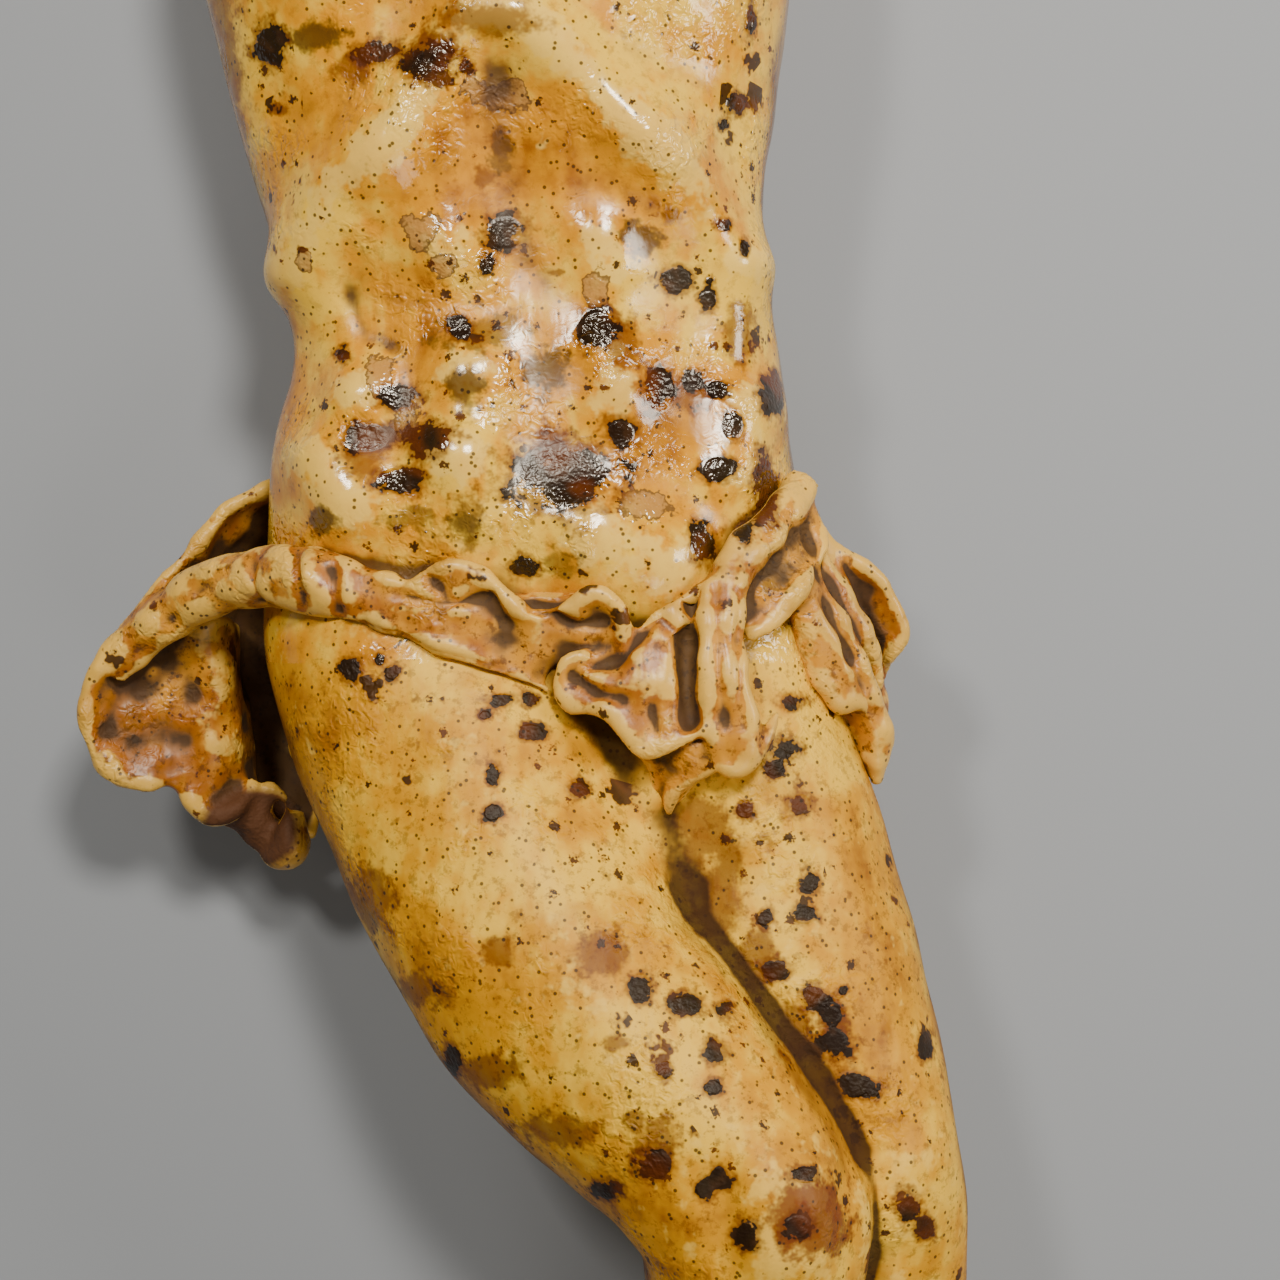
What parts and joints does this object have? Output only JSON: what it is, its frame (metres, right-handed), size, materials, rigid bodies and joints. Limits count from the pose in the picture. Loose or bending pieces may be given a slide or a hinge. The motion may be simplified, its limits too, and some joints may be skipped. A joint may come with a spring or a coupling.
{
  "type": "carved wooden crucifix figure",
  "caption": "Carved and varnished wooden figure from a crucifix, with outstretched arms, crossed feet and a loincloth that flares at the hip; it lies on its back.",
  "frame": {"origin": "middle of the figure's outline seen from the front, on the flat ground it lies on", "axes": "+X to the figure's left, +Y from its feet to its head, +Z out of its chest"},
  "size_m": [0.5285, 0.6327, 0.0934],
  "materials": {
    "varnished_wood": "aged ochre ground under thick glossy yellow varnish, with brown and black stains"
  },
  "bodies": {
    "root": {"body": "varnished_wood", "right_arm": "varnished_wood", "left_arm": "varnished_wood"}
  },
  "joints": []
}
